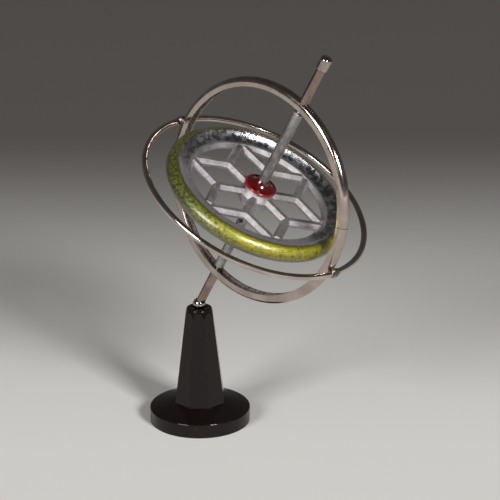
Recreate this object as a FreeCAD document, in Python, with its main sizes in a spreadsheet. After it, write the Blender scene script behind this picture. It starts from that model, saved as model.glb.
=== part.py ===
import FreeCAD, Part
import math
import os

import Sketcher

# Toy gyroscope that leans on its stand. Millimetres, +Z up, origin at the centre of the stand's
# underside. The gyroscope's own pieces are drawn about the ball's centre with the axle along +Z,
# and one placement leans them all.

DIMENSIONS = {
    # Stand
    "foot_radius": 13.8,
    "foot_edge": 4.0,
    "foot_round": 0.45,
    "foot_rise": 1.8,
    "column_foot": 4.5,
    "column_foot_flats": 13.65,
    "column_top_flats": 7.0,
    "cup_rim": 32.84,
    "cup_rim_round": 0.45,
    "cup_rim_inset": 0.02,
    "cup_flank_width": 1.1,
    "cup_flank_height": 4.2,
    "cup_mouth_radius": 2.35,
    "cup_seat_radius": 1.25,
    "cup_lip_drop": 0.16,
    # Ball and lean
    "ball_radius": 1.75,
    "ball_height": 33.75,
    "ball_gap": 0.05,
    "lean": 28.98,
    "azimuth": -37.07,
    "roll": -5.04,
    # Frame
    "ring_middle": 41.1,
    "ring_outer": 30.1,
    "ring_depth": 2.5,
    "ring_width": 2.9,
    "ring_wall": 0.45,
    "seam_angle": 21.5,
    "seam_gap": 0.15,
    "guard_outer": 31.75,
    "guard_wire": 1.6,
    "guard_offset": -1.5,
    "weld_length": 3.8,
    "weld_height": 2.7,
    "weld_depth": 2.2,
    "stem_radius": 1.225,
    "neck_radius": 1.1,
    "shoulder_radius": 29.35,
    "bearing_lower": 27.5,
    "bearing_upper": 27.9,
    "bearing_radius": 0.75,
    "bearing_depth": 0.8,
    "cap_radius": 1.55,
    "cap_start": 40.6,
    "cap_length": 3.7,
    "cap_round": 0.6,
    "cap_foot_round": 0.4,
    "cap_crown": 0.12,
    "cap_socket": 1.0,
    # Rotor
    "shaft_radius": 1.375,
    "shaft_below": 26.9,
    "shaft_above": 26.6,
    "shaft_chamfer": 0.3,
    "string_hole": 1.7,
    "string_hole_below": 9.9,
    "pivot_radius": 0.7,
    "pivot_below": 28.0,
    "pivot_above": 28.4,
    "pivot_point": 0.45,
    "pivot_socket": 3.0,
    "wheel_middle": -0.8,
    "rim_outer": 25.25,
    "rim_round": 2.55,
    "rim_crest": 22.35,
    "flange_radius": 18.2,
    "ledge_radius": 19.3,
    "cove_radius": 3.4,
    "web_thickness": 2.2,
    "web_draft": 31.0,
    "bar_width": 2.49,
    "vertex_radius": 11.6,
    "arm_angle": 61.5,
    "arm_length": 10.3,
    "hub_radius": 4.68,
    "hub_above": 2.2,
    "hub_below": 2.6,
    "hub_below_radius": 4.2,
    "disc_radius": 4.42,
    "disc_lip": 0.38,
    "disc_height": 2.5,
    "disc_neck": 1.65,
    "disc_flare": 3.2,
}

SPOKES = 6
COLUMN_SIDES = 8

document = FreeCAD.newDocument("gyroscope")
sheet = document.addObject("Spreadsheet::Sheet", "dims")
for row, (alias, number) in enumerate(DIMENSIONS.items(), start=1):
    sheet.set("A%d" % row, alias)
    sheet.set("B%d" % row, str(number))
    sheet.setAlias("B%d" % row, alias)
document.recompute()


class Size:
    """A length or a ratio that knows both its value and the expression that gives it."""

    def __init__(self, number, text):
        self.number = number
        self.text = text

    def _join(self, other, sign, number):
        return Size(number, "(%s %s %s)" % (self.text, sign, size(other).text))

    def __add__(self, other):
        return self._join(other, "+", self.number + size(other).number)

    def __sub__(self, other):
        return self._join(other, "-", self.number - size(other).number)

    def __mul__(self, other):
        return self._join(other, "*", self.number * size(other).number)

    def __truediv__(self, other):
        return self._join(other, "/", self.number / size(other).number)

    def __neg__(self):
        return Size(-self.number, "(0 - %s)" % self.text)


def size(value):
    """A plain number as a Size; a Size as it is."""
    if isinstance(value, Size):
        return value
    return Size(float(value), repr(float(value)))


def cell(alias):
    """The Size held in one cell of the sheet."""
    return Size(DIMENSIONS[alias], "dims.%s" % alias)


def sine(angle):
    return Size(math.sin(math.radians(angle.number)), "sin(%s)" % angle.text)


def cosine(angle):
    return Size(math.cos(math.radians(angle.number)), "cos(%s)" % angle.text)


def tangent(angle):
    return Size(math.tan(math.radians(angle.number)), "tan(%s)" % angle.text)


def root(value):
    return Size(math.sqrt(value.number), "sqrt(%s)" % value.text)


def new_body(name):
    """An empty body labelled with its node name."""
    body = document.addObject("PartDesign::Body", name)
    body.Label = name
    return body


def new_sketch(body, name, plane):
    """A sketch on one of the body's own origin planes."""
    sketch = body.newObject("Sketcher::SketchObject", name)
    support = [item for item in body.Origin.OriginFeatures if item.Role == plane][0]
    sketch.AttachmentSupport = (support, [""])
    sketch.MapMode = "FlatFace"
    return sketch


def pin_point(sketch, edge, end, axis, value):
    """Fix one coordinate of a point from the origin and bind it to its expression."""
    value = size(value)
    index = sketch.addConstraint(Sketcher.Constraint("Distance" + axis, edge, end, value.number))
    if "dims" in value.text:
        sketch.setExpression("Constraints[%d]" % index, value.text)


def arc_middle(start, end, radius, side):
    """The point halfway along the shorter arc of this radius; side +1 bulges to the left."""
    chord = end.sub(start)
    half = chord.Length / 2.0
    rise = radius - math.sqrt(max(radius * radius - half * half, 0.0))
    left = FreeCAD.Vector(-chord.y, chord.x, 0).normalize()
    return start.add(end).multiply(0.5).add(left.multiply(rise * side))


def outline(sketch, steps):
    """Draw a closed outline. Each step is (x, y) for a line to that point, or
    (x, y, radius, side) for an arc to it; the first step says how the last point joins back."""
    points = [FreeCAD.Vector(size(step[0]).number, size(step[1]).number, 0) for step in steps]
    ends = []
    for place, step in enumerate(steps):
        following = (place + 1) % len(steps)
        target = steps[following]
        start, end = points[place], points[following]
        if len(target) == 2:
            edge = sketch.addGeometry(Part.LineSegment(start, end), False)
            ends.append((edge, 1, 2))
            continue
        radius = size(target[2])
        middle = arc_middle(start, end, radius.number, target[3])
        if target[3] > 0:
            edge = sketch.addGeometry(Part.Arc(end, middle, start), False)
            ends.append((edge, 2, 1))
        else:
            edge = sketch.addGeometry(Part.Arc(start, middle, end), False)
            ends.append((edge, 1, 2))
    for place, step in enumerate(steps):
        before = ends[place - 1]
        here = ends[place]
        sketch.addConstraint(Sketcher.Constraint("Coincident", before[0], before[2], here[0], here[1]))
        pin_point(sketch, here[0], here[1], "X", step[0])
        pin_point(sketch, here[0], here[1], "Y", step[1])
    for place, step in enumerate(steps):
        if len(step) == 4:
            radius = size(step[2])
            edge = ends[place - 1][0]
            index = sketch.addConstraint(Sketcher.Constraint("Radius", edge, radius.number))
            sketch.setExpression("Constraints[%d]" % index, radius.text)


def circle(sketch, x, y, radius):
    """Draw a circle about a point."""
    centre = FreeCAD.Vector(size(x).number, size(y).number, 0)
    edge = sketch.addGeometry(Part.Circle(centre, FreeCAD.Vector(0, 0, 1), radius.number), False)
    index = sketch.addConstraint(Sketcher.Constraint("Radius", edge, radius.number))
    sketch.setExpression("Constraints[%d]" % index, radius.text)
    if size(x).number == 0 and size(y).number == 0:
        sketch.addConstraint(Sketcher.Constraint("Coincident", edge, 3, -1, 1))
    else:
        pin_point(sketch, edge, 3, "X", x)
        pin_point(sketch, edge, 3, "Y", y)


def revolve(body, name, steps, plane="XZ_Plane", kind="PartDesign::Revolution"):
    """Turn an outline fully round the vertical axis of its sketch."""
    sketch = new_sketch(body, name + "_outline", plane)
    outline(sketch, steps)
    feature = body.newObject(kind, name)
    feature.Profile = sketch
    feature.ReferenceAxis = (sketch, ["V_Axis"])
    feature.Angle = 360.0
    document.recompute()
    return feature


def extrude(body, sketch, name, kind, length):
    """Pad or pocket a sketch evenly to both sides of its plane."""
    feature = body.newObject(kind, name)
    feature.Profile = sketch
    feature.Midplane = True
    feature.setExpression("Length", size(length).text)
    document.recompute()
    return feature


def repeat(body, feature, name, count):
    """Repeat a feature evenly round the body's Z axis."""
    pattern = body.newObject("PartDesign::PolarPattern", name)
    pattern.Originals = [feature]
    axis = [item for item in body.Origin.OriginFeatures if item.Role == "Z_Axis"][0]
    pattern.Axis = (axis, [""])
    pattern.Angle = 360.0
    pattern.Occurrences = count
    body.Tip = pattern
    document.recompute()
    return pattern


lean = FreeCAD.Rotation(DIMENSIONS["azimuth"], DIMENSIONS["lean"], 0.0)
roll = FreeCAD.Rotation(FreeCAD.Vector(0, 0, 1), DIMENSIONS["roll"])
ball_place = FreeCAD.Placement(FreeCAD.Vector(0, 0, DIMENSIONS["ball_height"]), lean * roll)


def on_axle(height):
    """The placement of a piece whose own origin lies this far up the leaning axle."""
    return ball_place * FreeCAD.Placement(FreeCAD.Vector(0, 0, height), FreeCAD.Rotation())


def build_pedestal():
    """Round foot with a coned top, eight-sided tapered column and the dished cup."""
    body = new_body("pedestal")
    foot_radius = cell("foot_radius")
    edge = cell("foot_edge")
    corner = cell("foot_round")
    shoulder = edge + cell("foot_rise")
    column_radius = cell("column_foot_flats") / 2
    revolve(body, "foot", [
        (0, 0),
        (foot_radius, 0),
        (foot_radius, edge - corner),
        (foot_radius - corner, edge, corner, -1),
        (column_radius - 0.3, shoulder),
        (0, shoulder),
    ])

    rim = cell("cup_rim")
    column = body.newObject("PartDesign::AdditiveLoft", "column")
    sections = []
    for name, height, flats in (
        ("column_foot", cell("column_foot"), cell("column_foot_flats")),
        ("column_top", rim, cell("column_top_flats")),
    ):
        sketch = new_sketch(body, name, "XY_Plane")
        sketch.setExpression("AttachmentOffset.Base.z", height.text)
        corners = []
        for side in range(COLUMN_SIDES):
            angle = size(360.0 / COLUMN_SIDES * (side + 0.5))
            reach = flats / 2 / cosine(size(180.0 / COLUMN_SIDES))
            corners.append((reach * cosine(angle), reach * sine(angle)))
        outline(sketch, corners)
        sections.append(sketch)
    column.Profile = sections[0]
    column.Sections = [sections[1]]
    column.Ruled = True
    document.recompute()

    # The corners of the column run out into a round, rolled rim.
    rim_radius = cell("column_top_flats") / 2 - cell("cup_rim_inset")
    rim_round = cell("cup_rim_round")
    flank = rim_radius + cell("cup_flank_width")
    clear = flank + cell("cup_flank_width")
    above = rim + cell("cup_flank_width")
    revolve(body, "rim_turning", [
        (rim_radius - rim_round, rim),
        (rim_radius, rim - rim_round, rim_round, 1),
        (flank, rim - cell("cup_flank_height")),
        (clear, rim - cell("cup_flank_height")),
        (clear, above),
        (rim_radius - rim_round, above),
    ], kind="PartDesign::Groove")

    # The cup: a seat that fits the ball, opening into a wider dish.
    seat = cell("ball_radius") + cell("ball_gap")
    centre = cell("ball_height")
    seat_edge = cell("cup_seat_radius")
    mouth = cell("cup_mouth_radius")
    drop = root(seat * seat - seat_edge * seat_edge)
    revolve(body, "cup", [
        (0, centre - seat),
        (seat_edge, centre - drop, seat, -1),
        (mouth, rim - cell("cup_lip_drop")),
        (mouth + cell("cup_lip_drop") * 2, rim + 0.01, cell("cup_lip_drop") * 2.6, 1),
        (mouth + cell("cup_lip_drop") * 2, above),
        (0, above),
    ], kind="PartDesign::Groove")
    return body


def build_tip_ball():
    """The plain ball that stands in the cup."""
    ball = document.addObject("Part::Sphere", "tip_ball")
    ball.Label = "tip_ball"
    ball.setExpression("Radius", "dims.ball_radius")
    ball.Placement = ball_place
    return ball


def build_main_ring():
    """Rolled channel, open inward, pierced for the stems, with its butt seam."""
    body = new_body("main_ring")
    half = cell("ring_width") / 2
    wall = cell("ring_wall")
    outer = cell("ring_outer")
    inner = outer - cell("ring_depth")
    flank = outer - half
    channel = revolve(body, "channel", [
        (inner, -half),
        (flank, -half),
        (outer, 0, half, -1),
        (flank, half, half, -1),
        (inner, half),
        (inner, half - wall),
        (flank, half - wall),
        (outer - wall, 0, half - wall, 1),
        (flank, -half + wall, half - wall, 1),
        (inner, -half + wall),
    ], plane="XY_Plane")

    # The strip's two ends stop just short of each other: the butt seam.
    channel.setExpression("Angle", "360 - dims.seam_gap / dims.ring_outer * 180 / pi")

    # The stems' necks go through the crown, in line with the axle.
    holes = new_sketch(body, "stem_holes", "XY_Plane")
    across = FreeCAD.Vector(0, 1, 0)
    holes.AttachmentOffset = FreeCAD.Placement(
        FreeCAD.Vector(), FreeCAD.Rotation(across, DIMENSIONS["seam_angle"])
    )
    circle(holes, 0, 0, cell("neck_radius"))
    extrude(body, holes, "stem_piercing", "PartDesign::Pocket", outer * 2.2)
    turned = FreeCAD.Placement(FreeCAD.Vector(), FreeCAD.Rotation(across, -DIMENSIONS["seam_angle"]))
    body.Placement = on_axle(DIMENSIONS["ring_middle"]) * turned
    return body


def build_guard_ring():
    """Thin wire ring round the wheel's edge, drawn as four quarter rounds of wire."""
    body = new_body("guard_ring")
    wire = cell("guard_wire") / 2
    centre = cell("guard_outer") - wire
    corner = wire * cosine(size(45))
    revolve(body, "wire", [
        (centre + corner, -corner, wire, -1),
        (centre + corner, corner, wire, -1),
        (centre - corner, corner, wire, -1),
        (centre - corner, -corner, wire, -1),
    ])
    # The wire's two ends meet a quarter turn away from the welds.
    quarter = FreeCAD.Placement(FreeCAD.Vector(), FreeCAD.Rotation(FreeCAD.Vector(0, 0, 1), 90))
    body.Placement = on_axle(DIMENSIONS["ring_middle"] + DIMENSIONS["guard_offset"]) * quarter
    return body


def build_weld(name, side, ring, guard):
    """Bead of weld round the wire where it crosses the main ring."""
    bead = document.addObject("Part::Ellipsoid", name + "_bead")
    bead.setExpression("Radius1", "dims.weld_height / 2")
    bead.setExpression("Radius2", "dims.weld_depth / 2")
    bead.setExpression("Radius3", "dims.weld_length / 2")
    reach = DIMENSIONS["guard_outer"] - DIMENSIONS["guard_wire"] / 2
    height = DIMENSIONS["ring_middle"] + DIMENSIONS["guard_offset"]
    # Each bead has the same side toward the axle.
    facing = FreeCAD.Rotation(FreeCAD.Vector(0, 0, 1), 90 + 90 * side)
    place = FreeCAD.Placement(FreeCAD.Vector(side * reach, 0, height), facing)
    bead.Placement = ball_place * place
    off_wire = document.addObject("Part::Cut", name + "_off_wire")
    off_wire.Base = bead
    off_wire.Tool = guard
    weld = document.addObject("Part::Cut", name)
    weld.Base = off_wire
    weld.Tool = ring
    weld.Label = name
    return weld


def build_stem(name, side, ring):
    """Stem seated on the ring's crown; its neck goes through and ends in the bearing cup.
    The side is -1 for the stem to the ball and +1 for the stem to the upper cap."""
    blank = document.addObject("PartDesign::Body", name + "_blank")
    radius = cell("stem_radius")
    neck = cell("neck_radius")
    shoulder = cell("shoulder_radius")
    face = cell("bearing_lower") if side < 0 else cell("bearing_upper")
    bore = cell("bearing_radius")
    floor = face + cell("bearing_depth")

    def up(distance):
        return distance * side

    if side < 0:
        middle = cell("ring_middle")
        seat = cell("ball_radius") + cell("ball_gap")
        foot = root(seat * seat - radius * radius)
        ends = [(radius, foot - middle), (0, seat - middle, seat, -1)]
    else:
        ends = [(radius, cell("cap_start") + 1.0), (0, cell("cap_start") + 1.0)]
    revolve(blank, name + "_turned", [
        (0, up(floor + bore * 0.8)),
        (bore, up(floor)),
        (bore, up(face)),
        (neck - 0.15, up(face)),
        (neck, up(face + 0.15)),
        (neck, up(shoulder)),
        (radius, up(shoulder)),
    ] + ends)
    blank.Placement = on_axle(DIMENSIONS["ring_middle"])
    stem = document.addObject("Part::Cut", name)
    stem.Base = blank
    stem.Tool = ring
    stem.Label = name
    return stem


def build_tip_cap():
    """Barrel on the upper stem's end, with rounded edges and a slightly domed top."""
    body = new_body("tip_cap_upper")
    radius = cell("cap_radius")
    corner = cell("cap_round")
    foot = cell("cap_foot_round")
    start = cell("cap_start")
    end = start + cell("cap_length")
    socket = start + cell("cap_socket")
    crown = cell("cap_crown")
    shoulder = radius - corner
    dome = (shoulder * shoulder + crown * crown) / (crown * 2)
    stem = cell("stem_radius")
    revolve(body, "barrel", [
        (stem, start),
        (radius - foot * 0.45, start),
        (radius, start + foot, foot * 1.35, -1),
        (radius, end - corner),
        (radius - corner, end, corner, -1),
        (0, end + crown, dome, -1),
        (0, socket),
        (stem, socket),
    ])
    body.Placement = on_axle(DIMENSIONS["ring_middle"])
    return body


def build_shaft():
    """Shaft through the wheel, with chamfered ends, a socket in each end for its pivot,
    and the cross hole for the pull string."""
    body = new_body("axle_shaft")
    radius = cell("shaft_radius")
    bore = cell("pivot_radius")
    low = -cell("shaft_below")
    high = cell("shaft_above")
    chamfer = cell("shaft_chamfer")
    socket = cell("pivot_socket")
    revolve(body, "rod", [
        (0, low + socket),
        (bore, low + socket),
        (bore, low),
        (radius - chamfer, low),
        (radius, low + chamfer),
        (radius, high - chamfer),
        (radius - chamfer, high),
        (bore, high),
        (bore, high - socket),
        (0, high - socket),
    ])
    hole = new_sketch(body, "string_hole_outline", "XZ_Plane")
    circle(hole, 0, -cell("string_hole_below"), cell("string_hole") / 2)
    extrude(body, hole, "string_piercing", "PartDesign::Pocket", radius * 3)
    body.Placement = on_axle(DIMENSIONS["ring_middle"])
    return body


def build_pivot(name, side):
    """Pointed pin pressed into the shaft's end; its point runs in the stem's bearing.
    The side is -1 for the lower end and +1 for the upper."""
    body = new_body(name)
    radius = cell("pivot_radius")
    end = cell("shaft_below") if side < 0 else cell("shaft_above")
    reach = cell("pivot_below") if side < 0 else cell("pivot_above")

    def up(distance):
        return distance * side

    revolve(body, name + "_turned", [
        (0, up(end - cell("pivot_socket"))),
        (radius, up(end - cell("pivot_socket"))),
        (radius, up(reach - cell("pivot_point"))),
        (0, up(reach + cell("pivot_point") * 0.5)),
    ])
    body.Placement = on_axle(DIMENSIONS["ring_middle"])
    return body


def build_flywheel():
    """One casting: coned hub, six forked spokes and the coved half-round rim. The metal is widest
    at its middle plane and drafted away from it on both faces."""
    body = new_body("flywheel")
    bore = cell("shaft_radius")
    hub = cell("hub_radius")
    slope = tangent(cell("web_draft"))
    revolve(body, "hub", [
        (bore, -cell("hub_below")),
        (cell("hub_below_radius"), -cell("hub_below")),
        (hub, 0),
        (hub - cell("hub_above") * slope, cell("hub_above")),
        (bore, cell("hub_above")),
    ])

    # One spoke runs straight out, then forks into two arms that reach the rim.
    half = cell("bar_width") / 2
    vertex = cell("vertex_radius")
    angle = cell("arm_angle")
    reach = cell("arm_length")
    inside = vertex - half * tangent(angle / 2)
    crotch = vertex + half / sine(angle)
    end_x = vertex + reach * cosine(angle)
    end_y = reach * sine(angle)
    start = cell("hub_below_radius") - cell("web_thickness") / 2
    fork = new_sketch(body, "fork_outline", "XY_Plane")
    outline(fork, [
        (start, half),
        (start, -half),
        (inside, -half),
        (end_x - half * sine(angle), -(end_y + half * cosine(angle))),
        (end_x + half * sine(angle), -(end_y - half * cosine(angle))),
        (crotch, 0),
        (end_x + half * sine(angle), end_y - half * cosine(angle)),
        (end_x - half * sine(angle), end_y + half * cosine(angle)),
        (inside, half),
    ])
    spoke = extrude(body, fork, "forked_spoke", "PartDesign::Pad", cell("web_thickness"))
    spoke.setExpression("TaperAngle", "0 - dims.web_draft")
    document.recompute()
    repeat(body, spoke, "spokes", SPOKES)

    # Rim section: flat ledge level with the web, concave cove, half-round outside.
    round_radius = cell("rim_round")
    centre = cell("rim_outer") - round_radius
    crest = cell("rim_crest")
    crest_height = root(round_radius * round_radius - (centre - crest) * (centre - crest))
    level = cell("web_thickness") / 2
    ledge = cell("ledge_radius")
    flange = cell("flange_radius")
    cove = cell("cove_radius")
    revolve(body, "rim", [
        (flange + level * slope, -level),
        (ledge, -level),
        (crest, -crest_height, cove, 1),
        (centre, -round_radius, round_radius, -1),
        (cell("rim_outer"), 0, round_radius, -1),
        (centre, round_radius, round_radius, -1),
        (crest, crest_height, round_radius, -1),
        (ledge, level, cove, 1),
        (flange + level * slope, level),
        (flange, 0),
    ])
    body.Placement = on_axle(DIMENSIONS["ring_middle"] + DIMENSIONS["wheel_middle"])
    return body


def build_hub_disc():
    """Glossy bell-shaped disc on the hub: a rolled lip, and a flare that climbs to the shaft."""
    body = new_body("hub_disc")
    bore = cell("shaft_radius")
    lip = cell("disc_lip")
    centre = cell("disc_radius") - lip
    corner = lip * cosine(size(45))
    revolve(body, "bell", [
        (bore, 0),
        (centre, 0),
        (centre + lip, lip, lip, -1),
        (centre, lip * 2, lip, -1),
        (centre - corner, lip + corner, lip, -1),
        (cell("disc_neck"), cell("disc_height"), cell("disc_flare"), 1),
        (bore, cell("disc_height")),
    ])
    body.Placement = on_axle(
        DIMENSIONS["ring_middle"] + DIMENSIONS["wheel_middle"] + DIMENSIONS["hub_above"]
    )
    return body


ring = build_main_ring()
guard = build_guard_ring()
document.recompute()
nodes = [
    build_pedestal(),
    build_tip_ball(),
    ring,
    guard,
    build_weld("weld_left", -1, ring, guard),
    build_weld("weld_right", 1, ring, guard),
    build_stem("stem_lower", -1, ring),
    build_stem("stem_upper", 1, ring),
    build_tip_cap(),
    build_shaft(),
    build_pivot("pivot_lower", -1),
    build_pivot("pivot_upper", 1),
    build_flywheel(),
    build_hub_disc(),
]
document.recompute()

for item in document.Objects:
    if "Invalid" in item.State or "Error" in item.State:
        raise RuntimeError("%s did not compute" % item.Name)

os.makedirs("parts", exist_ok=True)
for node in nodes:
    shape = node.Shape
    if shape.isNull() or not shape.isValid() or not shape.Solids:
        raise RuntimeError("%s has no valid solid" % node.Label)
    shape.exportStep(os.path.join("parts", node.Label + ".step"))
    print("%s: %d solid, %.1f mm3" % (node.Label, len(shape.Solids), shape.Volume))
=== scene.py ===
import math

import bpy
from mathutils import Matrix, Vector

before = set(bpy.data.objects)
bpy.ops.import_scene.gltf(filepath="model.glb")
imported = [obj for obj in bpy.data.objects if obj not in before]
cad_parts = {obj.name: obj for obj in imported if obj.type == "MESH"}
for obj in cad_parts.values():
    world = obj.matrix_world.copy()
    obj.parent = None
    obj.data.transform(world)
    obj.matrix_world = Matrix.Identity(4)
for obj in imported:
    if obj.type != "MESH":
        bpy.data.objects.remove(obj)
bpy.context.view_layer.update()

MILLIMETRES_PER_METRE = 1000.0
MM = 0.001
MICRON = 0.000001

# The gyroscope's own frame, in metres: the ball's centre, the middle of the hoop and of the wheel,
# and three directions: across the axle in the hoop's plane, through the hoop, and up the axle.
BALL = Vector((0.0, 0.0, 0.03375))
UP_AXLE = Vector((0.38654, -0.29199, 0.87483))
IN_HOOP = Vector((0.64235, -0.59542, -0.48256))
THROUGH_HOOP = Vector((0.66179, 0.74848, -0.04259))
RING_MIDDLE = BALL + UP_AXLE * 0.0411
WHEEL_MIDDLE = BALL + UP_AXLE * 0.0403

# Sizes of the pieces in millimetres, where a finish follows their shape.
HOOP_RADIUS = 30.0
WIRE_RADIUS = 31.0
CHANNEL_WALL, CHANNEL_HOLLOW = 1.30, 1.12
SHAFT_PLAIN, SHAFT_LIGHTER = 20.0, 25.5
WEB_EDGE, COVE_START = 19.2, 20.0
PAINT_START, PAINT_FULL = 22.70, 22.95
LIP_INNER, LIP_OUTER = 23.1, 23.9
RIM_FACE, RIM_CREST = 0.7, 1.8
DISC_FLAT, DISC_LIP = 3.7, 4.3

# How far a unit of turn round the wheel is stretched for each pattern, in millimetres.
WAVE_STRETCH = 24.0
RUN_STRETCH = 15.0

# Sides of the wheel, as angles round its axle from IN_HOOP toward THROUGH_HOOP.
DULL_SIDE = 5.1
THICK_SIDE = 3.9
THIN_SIDE = 5.9

# The lamps, far enough off for an even floor.
LAMP_AIM = Vector((0.0, 0.0, 0.06))
LAMP_DISTANCE = 5.0

# The camera at the photograph's angle.
LENS, SENSOR_WIDTH = 150.46, 36.0
CAMERA_PLACE = (0.01378, -0.53026, 0.23466)
CAMERA_TILT = 70.72


class Finish:
    """One procedural material. Each method adds a node and gives back its output."""

    def __init__(self, name, roughness=0.5, metallic=0.0):
        self.material = bpy.data.materials.new(name)
        self.material.use_nodes = True
        self.tree = self.material.node_tree
        self.shader = self.tree.nodes["Principled BSDF"]
        self.shader.inputs["Roughness"].default_value = roughness
        self.shader.inputs["Metallic"].default_value = metallic
        self.place = self.add("ShaderNodeTexCoord").outputs["Object"]

    def add(self, kind, **settings):
        node = self.tree.nodes.new(kind)
        for key, value in settings.items():
            setattr(node, key, value)
        return node

    def feed(self, socket, value):
        if isinstance(value, bpy.types.NodeSocket):
            self.tree.links.new(value, socket)
        else:
            socket.default_value = value

    def math(self, operation, *values):
        node = self.add("ShaderNodeMath", operation=operation)
        for socket, value in zip(node.inputs, values):
            self.feed(socket, value)
        return node.outputs[0]

    def times(self, first, second):
        return self.math("MULTIPLY", first, second)

    def lean(self, first, second, factor):
        """Number between two others."""
        return self.math("ADD", self.times(self.math("SUBTRACT", second, first), factor), first)

    def step(self, value, low, high):
        """Smooth step from 0 at one level of a value to 1 at another."""
        node = self.add("ShaderNodeMapRange", interpolation_type="SMOOTHSTEP")
        for socket, number in zip(node.inputs, (value, low, high)):
            self.feed(socket, number)
        return node.outputs[0]

    def side(self, turn, angle, low, high):
        """Smooth step toward one side of the wheel."""
        near = self.math("COSINE", self.math("SUBTRACT", turn, angle))
        return self.step(near, low, high)

    def vector_math(self, operation, first, second):
        node = self.add("ShaderNodeVectorMath", operation=operation)
        self.feed(node.inputs[0], first)
        self.feed(node.inputs[1], second)
        return node.outputs["Value" if operation == "DOT_PRODUCT" else "Vector"]

    def join(self, x, y, z):
        node = self.add("ShaderNodeCombineXYZ")
        for socket, value in zip(node.inputs, (x, y, z)):
            self.feed(socket, value)
        return node.outputs[0]

    def gyro_place(self, middle):
        """Millimetres from a point of the gyroscope: in the hoop, through it and up the axle."""
        offset = self.vector_math("SUBTRACT", self.place, middle)
        return [
            self.times(self.vector_math("DOT_PRODUCT", offset, axis), MILLIMETRES_PER_METRE)
            for axis in (IN_HOOP, THROUGH_HOOP, UP_AXLE)
        ]

    def radius(self, first, second):
        """Distance from an axis, out of the two coordinates square to it."""
        squares = [self.times(value, value) for value in (first, second)]
        return self.math("SQRT", self.math("ADD", *squares))

    def noise(self, where, size, detail=3.0, rough=0.55, twist=0.0):
        """Clouds about one `size` across, in the units of `where`."""
        node = self.add("ShaderNodeTexNoise")
        self.feed(node.inputs["Vector"], where)
        self.feed(node.inputs["Scale"], 1.0 / size)
        self.feed(node.inputs["Detail"], detail)
        self.feed(node.inputs["Roughness"], rough)
        self.feed(node.inputs["Distortion"], twist)
        return node.outputs["Fac"]

    def cells(self, where, size):
        """Distance from the middle of the nearest cell, for cells about one `size` across."""
        node = self.add("ShaderNodeTexVoronoi", feature="F1")
        self.feed(node.inputs["Vector"], where)
        self.feed(node.inputs["Scale"], 1.0 / size)
        return node.outputs["Distance"]

    def blend(self, factor, first, second):
        """Colour between two others."""
        node = self.add("ShaderNodeMix", data_type="RGBA")
        self.feed(node.inputs["Factor"], factor)
        for socket, colour in ((node.inputs[6], first), (node.inputs[7], second)):
            self.feed(socket, (*colour, 1.0) if isinstance(colour, tuple) else colour)
        return node.outputs[2]

    def relief(self, height, depth, under=None):
        """Bumps of a real depth in metres, over other bumps if these are given."""
        node = self.add("ShaderNodeBump")
        self.feed(node.inputs["Height"], height)
        self.feed(node.inputs["Distance"], depth)
        self.feed(node.inputs["Strength"], 1.0)
        if under is not None:
            self.feed(node.inputs["Normal"], under)
        return node.outputs["Normal"]

    def set(self, **values):
        """Shader inputs by name, with spaces written as underscores."""
        for key, value in values.items():
            if isinstance(value, tuple):
                value = (*value, 1.0)
            self.feed(self.shader.inputs[key.replace("_", " ")], value)

    def wear(self, *nodes):
        """Puts the finish on CAD nodes."""
        for name in nodes:
            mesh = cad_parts[name].data
            mesh.materials.clear()
            mesh.materials.append(self.material)


def moulded_black():
    """Glossy black moulded plastic with faint flow lines, dust and handling marks."""
    f = Finish("black_plastic")
    flow = f.noise(f.place, 18 * MM, detail=2.0)
    grease = f.noise(f.place, 6 * MM, detail=4.0, rough=0.65)
    dust = f.step(f.noise(f.place, 0.35 * MM, detail=1.0), 0.71, 0.79)
    tint = f.blend(flow, (0.0032, 0.0019, 0.0017), (0.0085, 0.0050, 0.0045))
    f.set(Base_Color=f.blend(f.times(dust, 0.12), tint, (0.20, 0.19, 0.18)))
    shine = f.lean(0.07, 0.17, f.step(grease, 0.42, 0.72))
    f.set(Roughness=f.math("ADD", shine, f.times(dust, 0.25)))
    wave = f.relief(flow, 60 * MICRON)
    f.set(Normal=f.relief(grease, 8 * MICRON, under=wave), IOR=1.5, Specular_IOR_Level=0.25)
    f.wear("pedestal")


def dark_chrome():
    """Dark polished plate of the ball and the cap, finely scratched, duller in patches."""
    f = Finish("dark_chrome", metallic=1.0)
    bands = f.vector_math("MULTIPLY", f.place, (1.0, 1.0, 0.25))
    scratch = f.noise(bands, 0.18 * MM, detail=3.0, rough=0.7)
    patch = f.noise(f.place, 1.6 * MM, detail=3.0)
    dark, light = (0.34, 0.29, 0.275), (0.50, 0.42, 0.39)
    f.set(Base_Color=f.blend(f.step(patch, 0.35, 0.68), dark, light))
    f.set(Roughness=f.lean(0.06, 0.15, f.step(patch, 0.45, 0.7)))
    f.set(Normal=f.relief(scratch, 4 * MICRON))
    f.wear("tip_ball", "tip_cap_upper")


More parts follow.
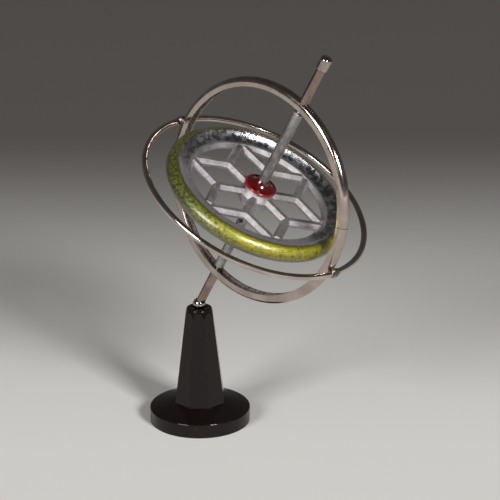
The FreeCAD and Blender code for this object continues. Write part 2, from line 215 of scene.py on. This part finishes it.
def hoop_nickel():
    """Nickel plate of the pressed hoop: smooth and warm outside, crinkled and dull inside, with
    painted shade darkening the inside of the channel.
    """
    f = Finish("nickel", metallic=1.0)
    x, y, z = f.gyro_place(RING_MIDDLE)
    radius = f.radius(x, z)
    along = f.times(f.math("ARCTAN2", z, x), HOOP_RADIUS)
    drawn = f.join(f.times(along, 0.05), y, radius)
    streak = f.noise(drawn, 0.25, detail=3.0, rough=0.6)
    cloud = f.noise(f.join(along, y, radius), 5.0, detail=4.0)

    # Inside the channel the skin faces the middle of the hoop or its other flank.
    facing = f.add("ShaderNodeTexCoord").outputs["Normal"]
    across = f.vector_math("DOT_PRODUCT", facing, THROUGH_HOOP)
    inward = f.math("ADD",
                    f.times(f.vector_math("DOT_PRODUCT", facing, IN_HOOP), x),
                    f.times(f.vector_math("DOT_PRODUCT", facing, UP_AXLE), z))
    inward = f.math("DIVIDE", inward, f.times(radius, -1.0))
    folded = f.times(f.times(across, f.math("SIGN", y)), -1.0)
    shaded_inside = f.step(f.math("MAXIMUM", inward, folded), 0.15, 0.45)
    shaded_inside = f.times(shaded_inside, f.step(f.math("ABSOLUTE", y), CHANNEL_WALL, CHANNEL_HOLLOW))

    crinkle = f.noise(f.join(along, y, radius), 0.75, detail=3.0, rough=0.62, twist=0.5)
    skin = f.blend(f.step(cloud, 0.35, 0.68), (0.41, 0.338, 0.300), (0.53, 0.445, 0.400))
    skin = f.blend(f.times(f.step(streak, 0.52, 0.78), 0.22), skin, (0.28, 0.23, 0.205))
    # Painted shade: inside the channel the colour turns darker, over a crinkled pattern.
    dull = f.blend(f.step(crinkle, 0.36, 0.64), (0.20, 0.168, 0.150), (0.50, 0.435, 0.395))
    f.set(Base_Color=f.blend(f.times(shaded_inside, 0.92), skin, dull))
    satin = f.lean(0.09, 0.17, f.step(cloud, 0.35, 0.7))
    f.set(Roughness=f.lean(satin, 0.55, shaded_inside))
    lines = f.relief(streak, 3 * MICRON)
    f.set(Normal=f.relief(f.times(crinkle, shaded_inside), 140 * MICRON, under=lines))
    f.wear("main_ring")


def wire_nickel():
    """Polished plate of the drawn guard wire, with hair lines along the wire."""
    f = Finish("nickel_wire", metallic=1.0)
    x, y, z = f.gyro_place(RING_MIDDLE)
    radius = f.radius(x, y)
    along = f.times(f.math("ARCTAN2", y, x), WIRE_RADIUS)
    drawn = f.join(f.times(along, 0.04), radius, z)
    hair = f.noise(drawn, 0.16, detail=3.0, rough=0.65)
    cloud = f.noise(f.join(along, radius, z), 6.0, detail=3.0)
    tint = f.blend(f.step(cloud, 0.35, 0.65), (0.50, 0.42, 0.38), (0.63, 0.54, 0.49))
    f.set(Base_Color=f.blend(f.times(f.step(hair, 0.52, 0.75), 0.3), tint, (0.28, 0.23, 0.21)))
    f.set(Roughness=f.lean(0.07, 0.15, cloud))
    f.set(Normal=f.relief(hair, 2 * MICRON))
    f.wear("guard_ring")


def weld_metal():
    """Rough plated beads, dark in their hollows, with a straw tint where they were hottest."""
    f = Finish("weld", metallic=1.0)
    lump = f.noise(f.place, 1.1 * MM, detail=3.0, rough=0.6, twist=0.4)
    grain = f.noise(f.place, 0.25 * MM, detail=3.0, rough=0.7)
    tint = f.blend(f.step(lump, 0.40, 0.62), (0.07, 0.06, 0.055), (0.46, 0.39, 0.35))
    f.set(Base_Color=f.blend(f.times(f.step(grain, 0.5, 0.8), 0.4), tint, (0.34, 0.23, 0.15)))
    f.set(Roughness=f.lean(0.14, 0.40, grain))
    f.set(Normal=f.relief(grain, 30 * MICRON, under=f.relief(lump, 500 * MICRON)))
    f.wear("weld_left", "weld_right")


def stem_steel():
    """Turned stems, satin plated, with fine lathe lines round the axle and a brownish cast."""
    f = Finish("stem_steel", metallic=1.0)
    x, y, z = f.gyro_place(RING_MIDDLE)
    turned = f.join(f.times(x, 0.15), f.times(y, 0.15), z)
    lathe = f.noise(turned, 0.16, detail=3.0)
    cloud = f.noise(f.place, 3.5 * MM, detail=4.0, rough=0.6)
    tint = f.blend(f.step(cloud, 0.35, 0.68), (0.25, 0.182, 0.155), (0.37, 0.283, 0.244))
    grooves = f.times(f.step(lathe, 0.5, 0.8), 0.35)
    f.set(Base_Color=f.blend(grooves, tint, (0.21, 0.155, 0.134)))
    f.set(Roughness=f.lean(0.12, 0.26, f.step(cloud, 0.3, 0.7)))
    f.set(Normal=f.relief(lathe, 10 * MICRON))
    f.wear("stem_lower", "stem_upper")


def zinc_shaft():
    """Dull grey cast shaft: pitted, patchy, lighter toward its ends."""
    f = Finish("zinc", metallic=1.0)
    z = f.gyro_place(RING_MIDDLE)[2]
    cloud = f.noise(f.place, 1.4 * MM, detail=5.0, rough=0.70)
    grain = f.noise(f.place, 0.45 * MM, detail=3.0, rough=0.7)
    pits = f.step(f.cells(f.place, 0.9 * MM), 0.16, 0.05)
    toward_ends = f.step(f.math("ABSOLUTE", z), SHAFT_PLAIN, SHAFT_LIGHTER)
    tint = f.blend(f.step(cloud, 0.36, 0.66), (0.20, 0.191, 0.190), (0.36, 0.347, 0.344))
    tint = f.blend(f.times(toward_ends, 0.35), tint, (0.62, 0.60, 0.59))
    f.set(Base_Color=f.blend(f.times(pits, 0.7), tint, (0.09, 0.086, 0.086)))
    f.set(Roughness=f.lean(0.55, 0.36, f.step(grain, 0.35, 0.7)))
    skin = f.relief(f.math("SUBTRACT", grain, f.times(pits, 0.7)), 90 * MICRON)
    f.set(Normal=f.relief(cloud, 120 * MICRON, under=skin))
    f.wear("axle_shaft")


def pivot_steel():
    """Ground hard steel points, bright, with grinding lines round them."""
    f = Finish("pivot_steel", metallic=1.0)
    x, y, z = f.gyro_place(RING_MIDDLE)
    turned = f.join(f.times(x, 0.2), f.times(y, 0.2), z)
    ground = f.noise(turned, 0.08, detail=2.0)
    f.set(Base_Color=f.blend(ground, (0.50, 0.48, 0.47), (0.76, 0.74, 0.73)))
    f.set(Roughness=f.lean(0.12, 0.26, ground))
    f.set(Normal=f.relief(ground, 10 * MICRON))
    f.wear("pivot_lower", "pivot_upper")


def wheel_finish():
    """Die-cast wheel: bare mottled metal in the middle, yellow-green lacquer over the rim."""
    f = Finish("wheel_casting")
    x, y, z = f.gyro_place(WHEEL_MIDDLE)
    radius = f.radius(x, y)
    turn = f.math("ARCTAN2", y, x)

    # Bare metal: dull grey web, and a burnished hollow where matt blotches and mirrors mix.
    cloud = f.noise(f.place, 3.0 * MM, detail=5.0, rough=0.62, twist=0.3)
    grain = f.noise(f.place, 0.6 * MM, detail=4.0, rough=0.72)
    cove = f.step(radius, WEB_EDGE, COVE_START)
    blotch = f.step(f.noise(f.place, 2.1 * MM, detail=5.0, rough=0.74), 0.38, 0.62)
    dull = f.side(turn, DULL_SIDE, 0.1, 0.5)
    web = f.blend(f.step(cloud, 0.34, 0.68), (0.32, 0.296, 0.303), (0.46, 0.430, 0.437))
    hollow = f.blend(blotch, (0.56, 0.545, 0.56), (0.33, 0.33, 0.345))
    hollow = f.blend(f.times(dull, 0.8), hollow, (0.50, 0.465, 0.48))
    metal = f.blend(cove, web, hollow)
    metal = f.blend(f.times(f.step(grain, 0.50, 0.72), 0.6), metal, (0.14, 0.132, 0.138))

    # Where the lacquer lies. Its inner edge wavers, and it is thin on one side of the wheel.
    wavy = f.noise(f.join(f.times(turn, WAVE_STRETCH), radius, z), 3.0, detail=3.0)
    edge = f.math("ADD", radius, f.times(f.math("SUBTRACT", wavy, 0.5), 0.5))
    paint = f.step(edge, PAINT_START, PAINT_FULL)
    lip = f.step(edge, LIP_OUTER, LIP_INNER)
    around = f.join(f.times(turn, RUN_STRETCH), radius, z)
    run = f.noise(around, 1.9, detail=5.0, rough=0.72, twist=0.4)
    fleck = f.noise(f.place, 0.75 * MM, detail=4.0, rough=0.8)
    thick = f.side(turn, THICK_SIDE, 0.0, 0.9)
    thin = f.side(turn, THIN_SIDE, 0.2, 0.9)
    sheen_crest = f.step(z, RIM_FACE, RIM_CREST)
    under = f.step(z, 0.9, -1.6)

    # Its colours: golden where it is thin, greener where it has run thick, khaki underneath, where
    # painted floor reflection and painted shade dull the lacquer, and brighter along the crest,
    # where painted sheen lies.
    lacquer = f.blend(f.step(run, 0.40, 0.60), (0.215, 0.222, 0.036), (0.105, 0.128, 0.024))
    lacquer = f.blend(f.times(thin, 0.75), lacquer, (0.262, 0.238, 0.001))
    # Painted sheen: along the crest of the rim the lacquer turns a brighter yellow-green.
    lacquer = f.blend(f.times(sheen_crest, 0.75), lacquer, (0.258, 0.262, 0.002))
    golden = f.times(f.step(fleck, 0.53, 0.66), f.lean(0.15, 0.95, thin))
    lacquer = f.blend(golden, lacquer, (0.54, 0.27, 0.006))
    lacquer = f.blend(f.times(thick, 0.5), lacquer, (0.165, 0.188, 0.062))
    # Dark mottles where the lacquer ran thick, kept below the crest, where they also paint in
    # shade.
    mottles_and_shade = f.times(f.step(run, 0.50, 0.62), f.times(thick, f.step(z, 1.9, 0.9)))
    lacquer = f.blend(f.times(mottles_and_shade, 0.7), lacquer, (0.050, 0.070, 0.026))
    # Painted reflection and shade: the lower side of the rim turns a dull khaki, as the pale floor
    # would show in it.
    lacquer = f.blend(f.times(under, 0.95), lacquer, (0.068, 0.071, 0.029))
    spots = f.step(fleck, f.lean(0.47, 0.57, thick), f.lean(0.38, 0.46, thick))
    lacquer = f.blend(f.times(spots, 0.85), lacquer, (0.026, 0.034, 0.009))
    lacquer = f.blend(f.times(lip, 0.8), lacquer, (0.10, 0.105, 0.006))
    f.set(Base_Color=f.blend(paint, metal, lacquer))

    burnish = f.lean(f.lean(0.38, 0.16, blotch), 0.55, dull)
    bare = f.lean(f.lean(0.66, 0.50, grain), burnish, cove)
    f.set(Roughness=f.lean(bare, f.lean(0.30, 0.46, fleck), paint))
    f.set(Metallic=f.lean(1.0, 0.62, paint))
    f.set(Coat_Weight=paint, Coat_Roughness=0.13, Coat_IOR=1.62)
    skin = f.relief(grain, 80 * MICRON)
    skin = f.relief(cloud, 140 * MICRON, under=skin)
    lumps = f.times(f.math("ADD", run, f.times(fleck, 1.1)), paint)
    f.set(Normal=f.relief(lumps, 160 * MICRON, under=skin))
    f.set(Coat_Normal=f.relief(lumps, 70 * MICRON))
    f.wear("flywheel")


def enamel_red():
    """Deep glossy red with a painted sheen that brightens the rolled lip, and a few dust specks.
    """
    f = Finish("red_enamel")
    x, y = f.gyro_place(RING_MIDDLE)[:2]
    pool = f.noise(f.place, 2.2 * MM, detail=3.0)
    specks = f.step(f.noise(f.place, 0.3 * MM, detail=1.0), 0.72, 0.8)
    red = f.blend(pool, (0.030, 0.0008, 0.0013), (0.078, 0.0012, 0.0022))
    # Painted sheen: the rolled lip is a brighter red.
    red = f.blend(f.step(f.radius(x, y), DISC_FLAT, DISC_LIP), red, (0.17, 0.004, 0.005))
    f.set(Base_Color=f.blend(f.times(specks, 0.3), red, (0.45, 0.22, 0.19)))
    f.set(Roughness=f.lean(0.12, 0.2, pool), Coat_Weight=0.6, Coat_Roughness=0.05)
    f.set(Normal=f.relief(pool, 100 * MICRON))
    f.wear("hub_disc")


def studio_floor():
    """Plain pale floor, darker behind the object as in the photograph."""
    bpy.ops.mesh.primitive_plane_add(size=6.0, location=(0.0, 0.0, 0.0))
    floor = bpy.context.active_object
    floor.name = "studio_floor"
    f = Finish("studio_floor", roughness=0.9)
    parts = f.add("ShaderNodeSeparateXYZ")
    f.feed(parts.inputs[0], f.place)
    # Painted shade: the floor's colour darkens behind the object, as the light falling off would.
    painted_falloff = f.step(parts.outputs["Y"], -0.03, 0.29)
    f.set(Base_Color=f.blend(painted_falloff, (0.655, 0.642, 0.614), (0.076, 0.068, 0.061)))
    floor.data.materials.append(f.material)


def soft_box(name, azimuth, elevation, size, power):
    """Square lamp that faces the object, by its degrees toward the right and above the floor."""
    azimuth, elevation = math.radians(azimuth), math.radians(elevation)
    flat = math.cos(elevation)
    way = Vector((math.sin(azimuth) * flat, -math.cos(azimuth) * flat, math.sin(elevation)))
    data = bpy.data.lights.new(name, "AREA")
    data.shape = "SQUARE"
    data.size = size
    data.energy = power
    lamp = bpy.data.objects.new(name, data)
    lamp.location = LAMP_AIM + way * LAMP_DISTANCE
    lamp.rotation_euler = way.to_track_quat("Z", "Y").to_euler()
    bpy.context.scene.collection.objects.link(lamp)


def room_light(level, top):
    """Room light, dimmer overhead."""
    world = bpy.data.worlds.new("room")
    bpy.context.scene.world = world
    world.use_nodes = True
    tree = world.node_tree
    back = tree.nodes["Background"]
    place = tree.nodes.new("ShaderNodeTexCoord")
    parts = tree.nodes.new("ShaderNodeSeparateXYZ")
    tree.links.new(place.outputs["Generated"], parts.inputs[0])
    ramp = tree.nodes.new("ShaderNodeMapRange")
    ramp.inputs["From Min"].default_value = 0.0
    ramp.inputs["From Max"].default_value = 0.9
    ramp.inputs["To Min"].default_value = level
    ramp.inputs["To Max"].default_value = top
    tree.links.new(parts.outputs["Z"], ramp.inputs["Value"])
    tree.links.new(ramp.outputs[0], back.inputs["Strength"])
    back.inputs["Color"].default_value = (1.0, 0.985, 0.96, 1.0)


def camera_at_photo():
    data = bpy.data.cameras.new("photo_view")
    data.lens = LENS
    data.sensor_width = SENSOR_WIDTH
    data.clip_start = 0.01
    camera = bpy.data.objects.new("photo_view", data)
    camera.location = CAMERA_PLACE
    camera.rotation_euler = (math.radians(CAMERA_TILT), 0.0, 0.0)
    bpy.context.scene.collection.objects.link(camera)
    bpy.context.scene.camera = camera


moulded_black()
dark_chrome()
hoop_nickel()
wire_nickel()
weld_metal()
stem_steel()
zinc_shaft()
pivot_steel()
wheel_finish()
enamel_red()

studio_floor()
soft_box("key", 33, 28, size=1.11, power=278.0)
soft_box("fill", -38, 26, size=1.89, power=185.0)
room_light(0.11, 0.05)
camera_at_photo()
bpy.context.scene.view_settings.view_transform = "Standard"
